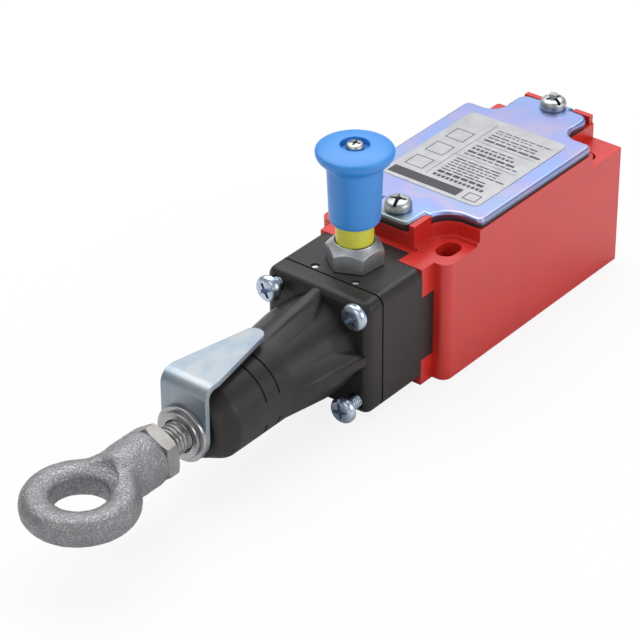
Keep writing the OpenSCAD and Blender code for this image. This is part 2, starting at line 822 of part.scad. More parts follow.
// The cam that the rod carries: its upper edge follows the roller's path, and its inner end is
// the shoulder that the reset stem drops behind
module cam_slide() {
    color([0.86, 0.86, 0.84])
    difference() {
        translate([0, cam_half, 0]) rotate([90, 0, 0]) linear_extrude(2 * cam_half)
            polygon(concat([[cam_front, axis_z - 4.2], [cam_front, cam_curve[0].y]], cam_curve,
                [[cam_end, cam_curve[cam_steps].y], [cam_end, axis_z - 4.2]]));
        x_rod(cam_front - 1, cam_end + 1, cam_bore_r);
    }
}

module cam_screw() {
    color([0.74, 0.75, 0.77])
    x_rod(cam_end - 3.7, cam_end - 0.3, cam_bore_r - 0.02);
}

// A bent strip: a round-ended plate on the rod and an arm that tapers to a round tip over the rings
module tension_bracket() {
    color([0.74, 0.80, 0.86])
    difference() {
        bend = 3.5;
        top = axis_z + bracket_rise;
        tip_r = 2.8;
        intersection() {
            // The strip's side view
            translate([0, 15, 0]) rotate([90, 0, 0]) linear_extrude(30) difference() {
                union() {
                    translate([bracket_front, axis_z - bracket_width / 2])
                        square([bracket_t, bracket_rise + bracket_width / 2 - bend]);
                    translate([bracket_front + bend, top - bracket_t])
                        square([bracket_arm - bend, bracket_t]);
                    intersection() {
                        translate([bracket_front + bend, top - bend]) circle(bend);
                        translate([bracket_front, top - bend]) square(bend);
                    }
                }
                translate([bracket_front + bend, top - bend]) circle(bend - bracket_t);
            }
            // The strip seen from the rope's end, and from above
            union() {
                x_rod(bracket_front - 1, bracket_front + bend, bracket_width / 2);
                translate([bracket_front - 1, -bracket_width / 2, axis_z])
                    cube([bend + 1, bracket_width, bracket_rise + 1]);
                translate([0, 0, top - bend]) linear_extrude(bend + 1) {
                    polygon([[bracket_front - 1, -bracket_width / 2],
                        [bracket_front + 5, -bracket_width / 2],
                        [bracket_front + bracket_arm - tip_r, -tip_r],
                        [bracket_front + bracket_arm - tip_r, tip_r],
                        [bracket_front + 5, bracket_width / 2], [bracket_front - 1, bracket_width / 2]]);
                    translate([bracket_front + bracket_arm - tip_r, 0]) circle(tip_r);
                }
            }
        }
        x_rod(bracket_front - 1, bracket_back + 1, rod_r + 0.05);
    }
}

module ring_washer(x0, x1, outer_r, inner_r) {
    difference() {
        x_rod(x0, x1, outer_r);
        x_rod(x0 - 1, x1 + 1, inner_r);
    }
}

module flat_washer() {
    color([0.66, 0.65, 0.65])
    ring_washer(washer_front, bracket_front, washer_d / 2, rod_r + 0.2);
}

// A split ring: the gap shows the angled cut of a spring washer
module spring_washer() {
    color([0.60, 0.59, 0.59])
    difference() {
        ring_washer(stack_front, washer_front, washer_d / 2 - 1.2, rod_r + 0.35);
        translate([stack_front - 1, 0, axis_z]) rotate([120, 0, 0]) rotate([0, 20, 0])
            cube([4, 0.5, 10]);
    }
}

module lock_nut() {
    color([0.70, 0.69, 0.66])
    hex_nut(lock_nut_front, lock_nut_back, lock_nut_af, rod_r + 0.02, lock_nut_turn);
}

// A forged eye: a rounded ring on a tapered shank, tapped for the rod
module eye_nut() {
    color([0.58, 0.58, 0.60])
    difference() {
        union() {
            translate([eye_center, 0, axis_z]) rotate_extrude() translate([eye_ring_r, 0])
                scale([1, eye_t / eye_radial]) circle(eye_radial / 2);
            difference() {
                translate([0, 0, axis_z]) rotate([0, 90, 0]) rotate_extrude()
                    polygon([[0, lock_nut_front], [shank_r - 0.9, lock_nut_front],
                        [shank_r - 0.4, lock_nut_front - 0.6], [shank_r, lock_nut_front - 6],
                        [shank_r - 0.3, lock_nut_front - 9], [shank_r - 1.4, lock_nut_front - 12],
                        [eye_t / 2, lock_nut_front - 15], [0, lock_nut_front - 15]]);
                translate([eye_center, 0, axis_z - 20]) cylinder(h = 40, r = eye_bore / 2 + 1.5);
            }
        }
        x_rod(rod_front - 0.5, lock_nut_front + 1, rod_r + 0.02);
    }
}

module reset_bushing() {
    color([0.70, 0.70, 0.72])
    difference() {
        translate([reset_x, 0, cavity_high]) cylinder(h = bushing_top - cavity_high, r = bushing_r);
        translate([reset_x, 0, sleeve_bottom]) cylinder(h = 30, r = sleeve_r);
        translate([reset_x, 0, cavity_high - 1]) cylinder(h = 30, r = stem_r + running);
    }
}

module reset_nut() {
    edge = reset_nut_af / sqrt(3);
    color([0.72, 0.72, 0.74])
    translate([reset_x, 0, head_top]) difference() {
        intersection() {
            rotate([0, 0, reset_nut_turn]) linear_extrude(reset_nut_height) circle(edge, $fn = 6);
            rotate_extrude() polygon([[0, 0], [edge + 0.1, 0], [edge + 0.1, reset_nut_height - 0.7],
                [edge - 1.1, reset_nut_height], [0, reset_nut_height]]);
        }
        translate([0, 0, -1]) cylinder(h = 20, r = bushing_r);
    }
}

module indicator_sleeve() {
    color([0.80, 0.80, 0.22])
    translate([reset_x, 0, sleeve_bottom]) difference() {
        cylinder(h = sleeve_top - sleeve_bottom, r = sleeve_r);
        translate([0, 0, -1]) cylinder(h = sleeve_top - sleeve_bottom - 0.5, r = sleeve_bore_r);
        cylinder(h = 40, r = stem_r + running);
    }
}

module reset_stem() {
    color([0.75, 0.76, 0.78])
    union() {
        translate([reset_x, 0, stem_tip + 1]) cylinder(h = stem_top - stem_tip - 1, r = stem_r);
        translate([reset_x, 0, stem_tip]) cylinder(h = 1, r1 = stem_r - 0.8, r2 = stem_r);
        translate([reset_x, 0, stem_collar_z]) cylinder(h = 1, r = sleeve_bore_r - running);
    }
}

module reset_spring() {
    color([0.66, 0.68, 0.70])
    translate([reset_x, 0, stem_collar_z + 1.02])
        coil(2.65, 0.35, sleeve_top - 1.5 - stem_collar_z - 1.04, 6);
}

module reset_knob() {
    color([0.20, 0.46, 0.78])
    translate([reset_x, 0, knob_bottom]) difference() {
        rotate_extrude() {
            r = knob_d / 2;
            c = cap_d / 2;
            polygon([[0, 0], [r - 1.2, 0], [r - 0.7, 0.5], [r - 0.4, 1.4], [r + 0.1, knob_height - 6.6],
                [r + 0.5, knob_height - 5.2], [c - 1.5, knob_height - 4.2], [c - 0.5, knob_height - 3],
                [c, knob_height - 1.9], [c - 0.15, knob_height - 1.3], [c - 1.1, knob_height - 0.75],
                [c - 2.8, knob_height - 0.3], [c - 4.8, knob_height - 0.05],
                [knob_recess_r, knob_height], [0, knob_height]]);
        }
        translate([0, 0, -1]) cylinder(h = sleeve_top - knob_bottom + 2, r = knob_bore_r);
        cylinder(h = stem_top - knob_bottom, r = stem_r);
        translate([0, 0, knob_height - knob_recess]) cylinder(h = 10, r = knob_recess_r);
        cylinder(h = 60, r = 1.25);
    }
}

module reset_knob_screw() {
    color([0.76, 0.77, 0.79])
    translate([reset_x, 0, knob_top - knob_recess]) rotate([0, 0, 15])
        pan_screw(knob_head_r, 2, 1.2, knob_top - knob_recess - stem_top);
}

body_housing();
cover_gasket();
cover_plate();
cover_screws();
rating_label();
contact_block();
contact_block_screws();
fixed_contacts();
terminal_clamps();
terminal_screws();
earth_clamp();
earth_screw();
contact_plunger();
contact_bridges();
bridge_springs();
plunger_spring();
head_housing();
head_gasket();
barrel();
head_screws();
head_pins();
rocker();
rocker_roller();
roller_pin();
rocker_pivots();
pull_rod();
spring_seat();
main_spring();
cam_slide();
cam_screw();
tension_bracket();
flat_washer();
spring_washer();
lock_nut();
eye_nut();
reset_bushing();
reset_nut();
indicator_sleeve();
reset_stem();
reset_spring();
reset_knob();
reset_knob_screw();
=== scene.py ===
import json
import math

import bmesh
import bpy
from mathutils import Matrix, Vector, noise


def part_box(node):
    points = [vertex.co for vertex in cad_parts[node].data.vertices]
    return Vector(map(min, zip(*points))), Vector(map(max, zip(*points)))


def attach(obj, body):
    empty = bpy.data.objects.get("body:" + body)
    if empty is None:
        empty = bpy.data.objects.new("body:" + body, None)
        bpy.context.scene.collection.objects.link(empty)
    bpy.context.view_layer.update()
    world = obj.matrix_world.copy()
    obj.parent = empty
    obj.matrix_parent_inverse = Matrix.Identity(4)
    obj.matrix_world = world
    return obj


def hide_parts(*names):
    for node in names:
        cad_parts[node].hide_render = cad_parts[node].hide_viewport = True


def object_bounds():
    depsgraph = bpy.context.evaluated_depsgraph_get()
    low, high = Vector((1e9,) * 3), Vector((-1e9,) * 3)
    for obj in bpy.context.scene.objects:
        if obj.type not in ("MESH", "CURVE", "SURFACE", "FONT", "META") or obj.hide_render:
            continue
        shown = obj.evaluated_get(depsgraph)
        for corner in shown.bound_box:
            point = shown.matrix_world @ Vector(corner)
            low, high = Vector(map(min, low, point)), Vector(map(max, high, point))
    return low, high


# Rope pull switch: the looks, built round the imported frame. Lengths are in millimetres, apart from
# the camera, the lights and what Blender itself is given in metres.
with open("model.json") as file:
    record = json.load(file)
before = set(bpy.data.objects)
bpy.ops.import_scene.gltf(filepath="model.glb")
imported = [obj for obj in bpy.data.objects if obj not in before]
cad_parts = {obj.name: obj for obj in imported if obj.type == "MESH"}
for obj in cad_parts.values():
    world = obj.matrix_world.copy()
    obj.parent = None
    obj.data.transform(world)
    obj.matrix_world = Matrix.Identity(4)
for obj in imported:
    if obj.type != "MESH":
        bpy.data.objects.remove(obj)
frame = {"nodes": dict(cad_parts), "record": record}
cad_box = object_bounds()
nodes = frame["nodes"]
scene = bpy.context.scene
MM = 0.001
slot_of = {part["node"]: part["material_slot"] for part in frame["record"]["subparts"]}
body_of = {node: body for body, names in frame["record"]["behaviour"]["bodies"].items() for node in names}


def box(node):
    """A CAD node's lowest and highest corners."""
    low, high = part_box(node)
    return [v / MM for v in low], [v / MM for v in high]


# ---------------------------------------------------------------- camera, from the photograph's perspective
azimuth, rise, roll = (math.radians(angle) for angle in (-51.43, 32.35, -0.23))
back = Vector((math.sin(azimuth) * math.cos(rise), -math.cos(azimuth) * math.cos(rise), math.sin(rise)))
level_right = Vector((math.cos(azimuth), math.sin(azimuth), 0))
level_up = back.cross(level_right)
right = level_right * math.cos(roll) + level_up * math.sin(roll)
up = -level_right * math.sin(roll) + level_up * math.cos(roll)

camera_data = bpy.data.cameras.new("camera")
camera_data.lens = 165.7
camera_data.sensor_width = 36
camera_data.shift_x = -0.0144
camera_data.shift_y = 0.0022
camera_data.clip_start = 0.01
camera = bpy.data.objects.new("camera", camera_data)
scene.collection.objects.link(camera)
scene.camera = camera
turn = Matrix((right, up, back)).transposed()
camera.matrix_world = Matrix.Translation((-0.53805, -0.38131, 0.40834)) @ turn.to_4x4()
scene.view_settings.view_transform = "Standard"


# ---------------------------------------------------------------- materials
class Mat:
    """A procedural material: a Principled shader with textures in the object's own space."""

    def __init__(self, name, colour, rough, metal=0.0, **more):
        self.material = bpy.data.materials.new(name)
        self.material.use_nodes = True
        self.tree = self.material.node_tree
        self.shader = self.tree.nodes["Principled BSDF"]
        self.shader.inputs["Base Color"].default_value = (*colour, 1)
        self.shader.inputs["Roughness"].default_value = rough
        self.shader.inputs["Metallic"].default_value = metal
        for key, value in more.items():
            self.shader.inputs[key.replace("_", " ")].default_value = value
        self.colour = colour
        self.relief = None
        self.place = self.add("ShaderNodeTexCoord").outputs["Object"]

    def add(self, kind, **settings):
        node = self.tree.nodes.new(kind)
        for key, value in settings.items():
            setattr(node, key, value)
        return node

    def link(self, source, socket):
        self.tree.links.new(source, socket)

    def noise(self, size, detail=3.0, rough=0.55):
        """Noise whose features are about size mm; size is a number or one for each of X, Y and Z."""
        sizes = size if isinstance(size, tuple) else (size, size, size)
        scaled = self.add("ShaderNodeMapping")
        scaled.inputs["Scale"].default_value = [1 / MM / s for s in sizes]
        self.link(self.place, scaled.inputs["Vector"])
        node = self.add("ShaderNodeTexNoise")
        node.inputs["Scale"].default_value = 1.0
        node.inputs["Detail"].default_value = detail
        node.inputs["Roughness"].default_value = rough
        self.link(scaled.outputs["Vector"], node.inputs["Vector"])
        return node.outputs["Fac"]

    def along(self, axis, start, end):
        """0 where the axis coordinate is start mm or less, 1 where it is end mm or more."""
        parts = self.add("ShaderNodeSeparateXYZ")
        self.link(self.place, parts.inputs["Vector"])
        node = self.add("ShaderNodeMapRange", interpolation_type="SMOOTHSTEP")
        node.inputs["From Min"].default_value = start * MM
        node.inputs["From Max"].default_value = end * MM
        self.link(parts.outputs[axis], node.inputs["Value"])
        return node.outputs["Result"]

    def curve(self, fac, stops):
        """Fac through a ramp of (place, colour or grey) stops."""
        node = self.add("ShaderNodeValToRGB")
        ramp = node.color_ramp.elements
        while len(ramp) < len(stops):
            ramp.new(0.5)
        for stop, (place, value) in zip(ramp, stops):
            stop.position = place
            stop.color = (*value, 1) if isinstance(value, tuple) else (value, value, value, 1)
        self.link(fac, node.inputs["Fac"])
        return node.outputs["Color"]

    def mix(self, fac, a, b, kind="MIX"):
        """Two colours mixed; each input is another node's output, or a number or colour."""
        node = self.add("ShaderNodeMix", data_type="RGBA", blend_type=kind)
        for socket, value in ((node.inputs["Factor"], fac), (node.inputs["A"], a), (node.inputs["B"], b)):
            if isinstance(value, bpy.types.NodeSocket):
                self.link(value, socket)
            else:
                socket.default_value = (*value, 1) if isinstance(value, tuple) else value
        return node.outputs["Result"]

    def bump(self, fac, depth):
        """Relief of about that depth; calls add up."""
        node = self.add("ShaderNodeBump")
        node.inputs["Strength"].default_value = 1.0
        node.inputs["Distance"].default_value = depth * MM
        self.link(fac, node.inputs["Height"])
        if self.relief is not None:
            self.link(self.relief, node.inputs["Normal"])
        self.relief = node.outputs["Normal"]
        self.link(self.relief, self.shader.inputs["Normal"])

    def tint(self, colour):
        self.link(colour, self.shader.inputs["Base Color"])

    def gloss(self, fac, low, high):
        """Roughness from low to high with fac."""
        node = self.add("ShaderNodeMapRange")
        node.inputs["To Min"].default_value = low
        node.inputs["To Max"].default_value = high
        self.link(fac, node.inputs["Value"])
        self.link(node.outputs["Result"], self.shader.inputs["Roughness"])

    def shaded(self, fac, low, high):
        """Base colour times a grey between low and high."""
        grey = self.curve(fac, [(0.3, low), (0.7, high)])
        self.tint(self.mix(1.0, self.colour, grey, "MULTIPLY"))


def plastic(name, colour, rough, grain=0.35, depth=0.012, spread=0.06, **more):
    """Moulded plastic: faint broad clouds, an uneven gloss and a fine grain."""
    made = Mat(name, colour, rough, **more)
    made.shaded(made.noise(9.0, 2), 1 - spread, 1 + spread)
    made.gloss(made.noise(2.2, 3), rough - 0.05, rough + 0.07)
    made.bump(made.noise(grain, 2), depth)
    return made


def steel(name, colour, rough, size=(6.0, 0.25, 0.25), depth=0.006, spread=0.12):
    """Bare or plated metal: clouds of tone, with gloss and relief that follow marks of that size."""
    made = Mat(name, colour, rough, 1.0)
    marks = made.noise(size, 2)
    made.shaded(made.noise(3.0, 3), 1 - spread, 1 + spread)
    made.gloss(marks, rough - 0.06, rough + 0.1)
    made.bump(marks, depth)
    return made


red = plastic("red_casing", (0.60, 0.022, 0.014), 0.31, 0.5, 0.010, 0.05, Specular_IOR_Level=0.65)
rubber = plastic("black_rubber", (0.012, 0.013, 0.016), 0.55, 0.4, 0.02)
black = plastic("black_plastic", (0.023, 0.0195, 0.0185), 0.38, 0.45, 0.012, 0.14, Specular_IOR_Level=0.32)
blue = plastic("blue_plastic", (0.020, 0.250, 0.70), 0.42, 0.5, 0.006, 0.04, Specular_IOR_Level=0.75)
yellow = plastic("yellow_plastic", (0.70, 0.68, 0.060), 0.38, 0.5, 0.008, 0.06)
ivory = plastic("ivory_plastic", (0.80, 0.78, 0.70), 0.45)
slide = plastic("slide_plastic", (0.06, 0.14, 0.42), 0.4)
acetal = plastic("roller_plastic", (0.72, 0.70, 0.62), 0.4)
ink = plastic("label_ink", (0.030, 0.030, 0.033), 0.4, 0.6, 0.004)
brass = steel("contact_brass", (0.80, 0.60, 0.27), 0.3)
screw = steel("screw_steel", (0.45, 0.47, 0.47), 0.36, 0.5, 0.03, 0.2)
spring = steel("spring_steel", (0.45, 0.46, 0.48), 0.3)
blue_zinc = steel("blue_zinc_steel", (0.50, 0.58, 0.68), 0.28, 0.6, 0.012, 0.2)
pin = steel("pin_steel", (0.74, 0.74, 0.74), 0.25)
rod = steel("rod_steel", (0.34, 0.335, 0.33), 0.28, 0.3)
washer = steel("washer_steel", (0.42, 0.415, 0.42), 0.27, 0.4)
nut = steel("nut_steel", (0.30, 0.29, 0.28), 0.42, 0.5, 0.02)
cool_nut = steel("cool_nut_steel", (0.45, 0.465, 0.48), 0.36, 0.5, 0.016, 0.1)

# Bent strip with a bright blue zinc skin: fine grain, faint blue and grey clouds
bracket = Mat("bracket_zinc", (0.60, 0.68, 0.74), 0.3, 1.0)
cloud = bracket.noise((9.0, 5.0, 9.0), 3)
bracket.tint(bracket.curve(cloud, [(0.30, (0.25, 0.31, 0.38)), (0.5, (0.31, 0.36, 0.405)),
                                   (0.70, (0.36, 0.385, 0.40))]))
bracket.gloss(bracket.noise(0.5, 3), 0.36, 0.52)
bracket.bump(bracket.noise((1.4, 0.18, 1.4), 2), 0.004)

# Cover plate: film colours drift between blue and lilac over the passivation, and towards its end by the
# head the colour fades to a darker grey green, painted shade that dims the reflections and the rim's
# highlight there
cover = Mat("passivated_zinc", (0.66, 0.70, 0.86), 0.24, 1.0)
film = cover.curve(cover.noise((26.0, 20.0, 20.0), 2, 0.4), [
    (0.30, (0.29, 0.41, 0.66)), (0.44, (0.28, 0.37, 0.66)), (0.50, (0.33, 0.36, 0.63)),
    (0.55, (0.40, 0.38, 0.57)), (0.61, (0.33, 0.38, 0.59)), (0.74, (0.28, 0.40, 0.66))])
cover_end = box("cover_plate")[0][0]
cover.tint(cover.mix(cover.along("X", cover_end + 0.6, cover_end + 5.0), (0.24, 0.29, 0.30), film))
cover.gloss(cover.noise(0.6, 3), 0.33, 0.40)
cover.bump(cover.noise((0.16, 2.5, 0.3), 2), 0.0008)
cover.bump(cover.noise(6.0, 2), 0.02)

# Label foil: a fine crumple
foil = Mat("label_foil", (0.45, 0.45, 0.465), 0.36, 1.0)
foil.shaded(foil.noise(4.0, 3), 0.9, 1.08)
foil.gloss(foil.noise(0.5, 3), 0.32, 0.44)
foil.bump(foil.noise(1.2, 3), 0.006)

# Hot dip galvanised forging: broad patches of tone, pits, and specks that shine
forged = Mat("forged_steel", (0.33, 0.33, 0.34), 0.55, 0.7)
speck = forged.noise(0.5, 2, 0.6)
patches = forged.curve(forged.noise(3.5, 4, 0.6), [
    (0.28, (0.22, 0.22, 0.23)), (0.50, (0.26, 0.258, 0.268)), (0.72, (0.30, 0.30, 0.305))])
bright = forged.curve(speck, [(0.38, 0.84), (0.54, 0.98), (0.68, 1.30)])
forged.tint(forged.mix(1.0, patches, bright, "MULTIPLY"))
forged.gloss(forged.curve(speck, [(0.50, 0.0), (0.64, 1.0)]), 0.52, 0.16)
forged.bump(forged.noise(1.0, 3, 0.65), 0.20)
forged.bump(speck, 0.10)

by_slot = {
    "red_casing": red, "black_rubber": rubber, "passivated_zinc": cover, "screw_steel": screw,
    "label_foil": foil, "ivory_plastic": ivory, "contact_brass": brass, "slide_plastic": slide,
    "spring_steel": spring, "black_plastic": black, "blue_zinc_steel": blue_zinc, "pin_steel": pin,
    "roller_plastic": acetal, "rod_steel": rod, "bracket_zinc": bracket, "washer_steel": washer,
    "nut_steel": nut, "forged_steel": forged, "yellow_plastic": yellow, "blue_plastic": blue,
}
for node, obj in nodes.items():
    obj.data.materials.clear()
    obj.data.materials.append(by_slot[slot_of[node]].material)


# ---------------------------------------------------------------- meshes
def new_object(name, bm):
    """An object in the scene from bm, which is used up."""
    bmesh.ops.recalc_face_normals(bm, faces=bm.faces)
    mesh = bpy.data.meshes.new(name)
    bm.to_mesh(mesh)
    bm.free()
    mesh.transform(Matrix.Scale(MM, 4))
    obj = bpy.data.objects.new(name, mesh)
    scene.collection.objects.link(obj)
    return obj


def in_mm(mesh):
    """A bmesh of a mesh that is in metres, with doubled points joined."""
    bm = bmesh.new()
    bm.from_mesh(mesh)
    bmesh.ops.remove_doubles(bm, verts=bm.verts, dist=1e-7)
    bmesh.ops.scale(bm, vec=(1 / MM, 1 / MM, 1 / MM), verts=bm.verts)
    return bm


def shade_smooth(mesh, sharp_deg):
    """Smooth shading that keeps edges of more than sharp_deg sharp."""
    for face in mesh.polygons:
        face.use_smooth = True
    bm = bmesh.new()
    bm.from_mesh(mesh)
    for edge in bm.edges:
        if len(edge.link_faces) == 2 and edge.calc_face_angle(0) > math.radians(sharp_deg):
            edge.smooth = False
    bm.to_mesh(mesh)
    bm.free()


def add_bevel(obj, width, segments=2, angle_deg=30):
    """Rounds an object's edges with a modifier."""
    bevel = obj.modifiers.new("bevel", "BEVEL")
    bevel.width = width * MM
    bevel.segments = segments
    bevel.limit_method = "ANGLE"
    bevel.angle_limit = math.radians(angle_deg)


def finish_piece(name, bm, mat, stands_for=(), body=None, sharp_deg=40):
    """A piece of the model from bm. It replaces the CAD nodes that it stands for, and rides on their
    body or on the one that is given."""
    obj = new_object(name, bm)
    obj.data.materials.append(mat.material)
    shade_smooth(obj.data, sharp_deg)
    if stands_for:
        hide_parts(*stands_for)
        body = body or body_of[stands_for[0]]
    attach(obj, body)
    return obj


def skin(bm, a, b):
    """Faces between two loops of vertices, one of which may be a single point."""
    count = max(len(a), len(b))
    for i in range(count):
        j = (i + 1) % count
        if len(a) == 1:
            bm.faces.new((a[0], b[i], b[j]))
        elif len(b) == 1:
            bm.faces.new((a[i], a[j], b[0]))
        else:
            bm.faces.new((a[i], a[j], b[j], b[i]))


def round_axis(radius, angle, height, where, axis):
    """The point at an angle round an axis through where, and height along it."""
    x, y = radius * math.cos(angle), radius * math.sin(angle)
    return Vector(where) + Vector((x, y, height) if axis == "z" else (height, x, y))


def lathe(bm, profile, where, axis="z", steps=72):
    """Turns (radius, height) points about an axis through where. A profile that starts on the axis
    ends on it too; any other is closed into a ring."""
    loops = []
    for radius, height in profile:
        angles = [2 * math.pi * i / steps for i in range(steps if radius > 0 else 1)]
        loops.append([bm.verts.new(round_axis(radius, angle, height, where, axis)) for angle in angles])
    ring = profile[0][0] > 0
    for a, b in zip(loops, loops[1:] + loops[:1] if ring else loops[1:]):
        skin(bm, a, b)


def raise_faces(bm, faces, height):
    """Extrudes faces upwards."""
    made = bmesh.ops.extrude_face_region(bm, geom=faces)
    moved = [item for item in made["geom"] if isinstance(item, bmesh.types.BMVert)]
    bmesh.ops.translate(bm, vec=(0, 0, height), verts=moved)


def rounded_rectangle(half_x, half_y, radius, steps=8):
    """The (x, y) points of a rectangle about the origin, with an arc at each corner."""
    points = []
    for side_x, side_y, start in ((1, 1, 0), (-1, 1, 90), (-1, -1, 180), (1, -1, 270)):
        for k in range(steps + 1):
            angle = math.radians(start + 90 * k / steps)
            points.append((side_x * (half_x - radius) + radius * math.cos(angle),
                           side_y * (half_y - radius) + radius * math.sin(angle)))
    return points


def smoothed(points, per=6):
    """A Catmull-Rom line through (radius, height) points."""
    line = []
    ends = [points[0]] + list(points) + [points[-1]]
    for four in zip(ends, ends[1:], ends[2:], ends[3:]):
        for k in range(per):
            t = k / per
            line.append(tuple(0.5 * (2 * b + (c - a) * t + (2 * a - 5 * b + 4 * c - d) * t * t
                                     + (3 * b - a - 3 * c + d) * t ** 3) for a, b, c, d in zip(*four)))
    return line + [tuple(points[-1])]


# ---------------------------------------------------------------- cutting tools
def tool_box(centre, size, spin):
    """A box to cut with, turned by a rotation matrix."""
    bm = bmesh.new()
    bmesh.ops.create_cube(bm, size=1)
    bmesh.ops.scale(bm, vec=size, verts=bm.verts)
    bmesh.ops.transform(bm, matrix=spin.to_4x4(), verts=bm.verts)
    bmesh.ops.translate(bm, vec=centre, verts=bm.verts)
    return new_object("tool", bm)


def tool_lathe(profile, where, axis="z", steps=72):
    """A turned solid or ring to cut with."""
    bm = bmesh.new()
    lathe(bm, profile, where, axis, steps)
    return new_object("tool", bm)


def cut(obj, tools):
    """Cuts the tools out of obj and uses them up."""
    bpy.context.view_layer.update()
    materials = list(obj.data.materials)
    for tool in tools:
        mod = obj.modifiers.new("cut", "BOOLEAN")
        mod.operation = "DIFFERENCE"
        mod.solver = "EXACT"
        mod.object = tool
        left = obj.evaluated_get(bpy.context.evaluated_depsgraph_get())
        mesh = bpy.data.meshes.new_from_object(left)
        obj.modifiers.clear()
        mesh.materials.clear()
        for material in materials:
            mesh.materials.append(material)
        obj.data = mesh
        bpy.data.objects.remove(tool)
    shade_smooth(obj.data, 30)


# ---------------------------------------------------------------- screws
def screw_head(name, seat, direction, radius, height, turn_deg, kind, body, mat, stands_for=()):
    """A domed pan head on its seat, which faces along direction; kind "slot" adds a slot to the cross."""
    facing = Vector(direction)
    spin = facing.to_track_quat("Z", "Y").to_matrix() @ Matrix.Rotation(math.radians(turn_deg), 3, "Z")
    dome = ((0.94, 0), (0.985, 0.06), (1, 0.16), (1, 0.48), (0.97, 0.62), (0.90, 0.77), (0.78, 0.89),
            (0.60, 0.96), (0.32, 0.995))

    def recess(length, width, depth, level, angle_deg=0):
        """A box whose sizes and level are shares of the head's radius and height."""
        turned = spin @ Matrix.Rotation(math.radians(angle_deg), 3, "Z")
        return tool_box(Vector(seat) + facing * (height * level),
                        (radius * length, radius * width, height * depth), turned)

    bm = bmesh.new()
    lathe(bm, [(0, -0.01)] + [(radius * r, height * h) for r, h in dome] + [(0, height)], (0, 0, 0), "z", 64)
    bmesh.ops.transform(bm, matrix=spin.to_4x4(), verts=bm.verts)
    bmesh.ops.translate(bm, vec=seat, verts=bm.verts)
    obj = finish_piece(name, bm, mat, stands_for, body)
    tools = [recess(1.2, 0.24, 1.1, 0.8), recess(1.2, 0.24, 1.1, 0.8, 90)]
    if kind == "slot":
        tools.append(recess(2.4, 0.26, 0.8, 1.1))
    tools.append(recess(0.5, 0.5, 1.2, 0.78, 45))
    cut(obj, tools)
    return obj


def thread(name, start, end, y, z, major, minor, pitch, mat, body):
    """A screw thread about an axis along X: one helical surface that runs out at both ends."""
    steps = 36
    crest = ((0.0, minor), (0.32, major - 0.05), (0.40, major),
             (0.60, major), (0.68, major - 0.05), (1.0, minor))
    bm = bmesh.new()
    rows = []
    for i in range(int((end - start) / pitch * steps) + 1):
        row = []
        for share, radius in crest:
            x = start + pitch * i / steps + pitch * (share - 0.5)
            radius = min(radius, minor + max(min(x - start, end - x), 0))
            x = min(max(x, start), end)
            row.append(bm.verts.new(round_axis(radius, 2 * math.pi * i / steps, x, (0, y, z), "x")))
        rows.append(row)
    for a, b in zip(rows, rows[1:]):
        for k in range(len(crest) - 1):
            bm.faces.new((a[k], a[k + 1], b[k + 1], b[k]))
    return finish_piece(name, bm, mat, body=body, sharp_deg=50)


# ---------------------------------------------------------------- CAD nodes with softened edges
def soften(node, width, segments=3):
    """Rounds a CAD node's sharp edges with modifiers; its own mesh stays as packed."""
    obj = nodes[node]
    weld = obj.modifiers.new("weld", "WELD")
    weld.merge_threshold = 1e-6
    flat = obj.modifiers.new("flat", "DECIMATE")
    flat.decimate_type = "DISSOLVE"
    flat.angle_limit = math.radians(0.5)
    add_bevel(obj, width, segments, 32)
    obj.modifiers.new("normals", "WEIGHTED_NORMAL")


soften("body_housing", 0.35)
soften("head_housing", 0.45)
soften("tension_bracket", 0.28)
soften("lock_nut", 0.16)
soften("flat_washer", 0.22)
soften("spring_washer", 0.12)
soften("head_pins", 0.3)
soften("cover_gasket", 0.2, 2)
soften("indicator_sleeve", 0.25)


# ---------------------------------------------------------------- cover plate and its screws
def sheet_copy(node, thickness, soft_from, keep_sharp):
    """A CAD plate's lowest face raised to thickness, with its upper rim marked for rounding: less where
    x is under soft_from, and not at all round the keep_sharp centres, which are (x, y)."""
    clear_r = 3
    tolerance = 0.01
    bm = in_mm(nodes[node].data)
    low = min(v.co.z for v in bm.verts)
    others = [f for f in bm.faces if f.normal.z > -0.9 or f.calc_center_median().z > low + tolerance]
    bmesh.ops.delete(bm, geom=others, context="FACES")
    bmesh.ops.dissolve_limit(bm, angle_limit=0.001, verts=bm.verts, edges=bm.edges)
    raise_faces(bm, bm.faces[:], thickness)
    weight = bm.edges.layers.float.new("bevel_weight_edge")
    for edge in bm.edges:
        middle = (edge.verts[0].co + edge.verts[1].co) / 2
        on_top = all(v.co.z > low + thickness - tolerance for v in edge.verts)
        on_rim = any(abs(f.normal.z) < 0.5 for f in edge.link_faces)
        clear = all((middle.x - x) ** 2 + (middle.y - y) ** 2 > clear_r ** 2 for x, y in keep_sharp)
        if on_top and on_rim and clear:
            edge[weight] = 0.8 if middle.x < soft_from else 1.0
    return bm


plate_low, plate_high = box("cover_plate")
cover_screws_low, cover_screws_high = box("cover_screws")
plate_top = plate_high[2]
plate_tab = 2.5
pan_r = 3.5
rest_gap = 0.02
cover_screw_xs = (cover_screws_low[0] + pan_r, cover_screws_high[0] - pan_r)
bm = sheet_copy("cover_plate", plate_top - plate_low[2], plate_low[0] + plate_tab,
                [(x, 0) for x in cover_screw_xs])
plate = finish_piece("cover_sheet", bm, cover, ("cover_plate",), sharp_deg=50)
rim = plate.modifiers.new("rolled_rim", "BEVEL")
rim.width = 1.15 * MM
rim.segments = 5
rim.limit_method = "WEIGHT"
plate.modifiers.new("normals", "WEIGHTED_NORMAL")

for i, (x, turn_deg) in enumerate(zip(cover_screw_xs, (20, 65))):
    head = screw_head("cover_screw_%d" % (i + 1), (x, 0, plate_top + rest_gap), (0, 0, 1), radius=pan_r,
                      height=2.9, turn_deg=turn_deg, kind="slot", body="casing", mat=screw,
                      stands_for=("cover_screws",) if i == 0 else ())

